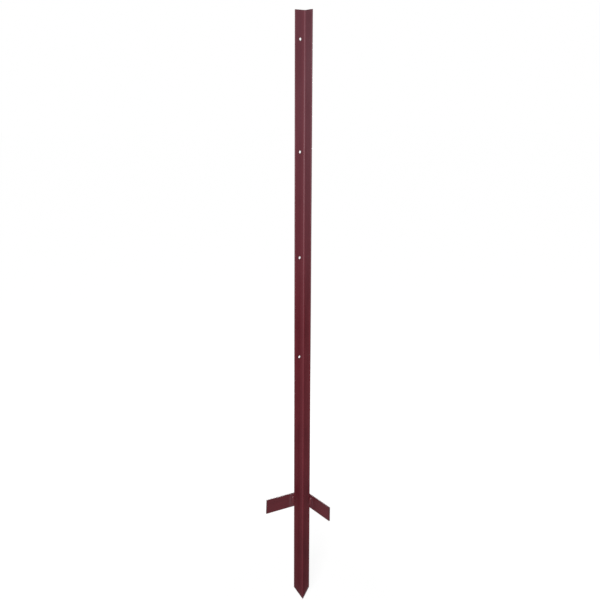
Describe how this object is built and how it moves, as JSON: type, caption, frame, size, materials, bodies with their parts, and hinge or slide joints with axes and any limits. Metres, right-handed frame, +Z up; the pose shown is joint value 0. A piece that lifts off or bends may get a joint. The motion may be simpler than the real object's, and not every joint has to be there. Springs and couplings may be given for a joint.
{
  "type": "steel angle fence post",
  "caption": "Upright fence post of painted steel angle with a cut driving point, a row of wire holes in one flange and welded flat-bar anchor wings near the foot.",
  "frame": {"origin": "the driven tip, on the line of the angle's outer corner", "axes": "+Z up along the outer corner; the holed flange runs along -X with its outer face on Y = 0; the plain flange runs along -Y with its outer face on X = 0"},
  "size_m": [0.1399, 0.139, 1.8],
  "materials": {
    "post_paint": "oxide-red coat over mill scale, satin",
    "wing_paint": "oxide-red coat over flat bar, satin",
    "weld_paint": "oxide-red coat over a rippled weld bead, satin"
  },
  "bodies": {
    "root": {"angle_post": "post_paint", "left_wing": "wing_paint", "right_wing": "wing_paint", "left_weld": "weld_paint", "right_weld": "weld_paint"}
  },
  "joints": []
}
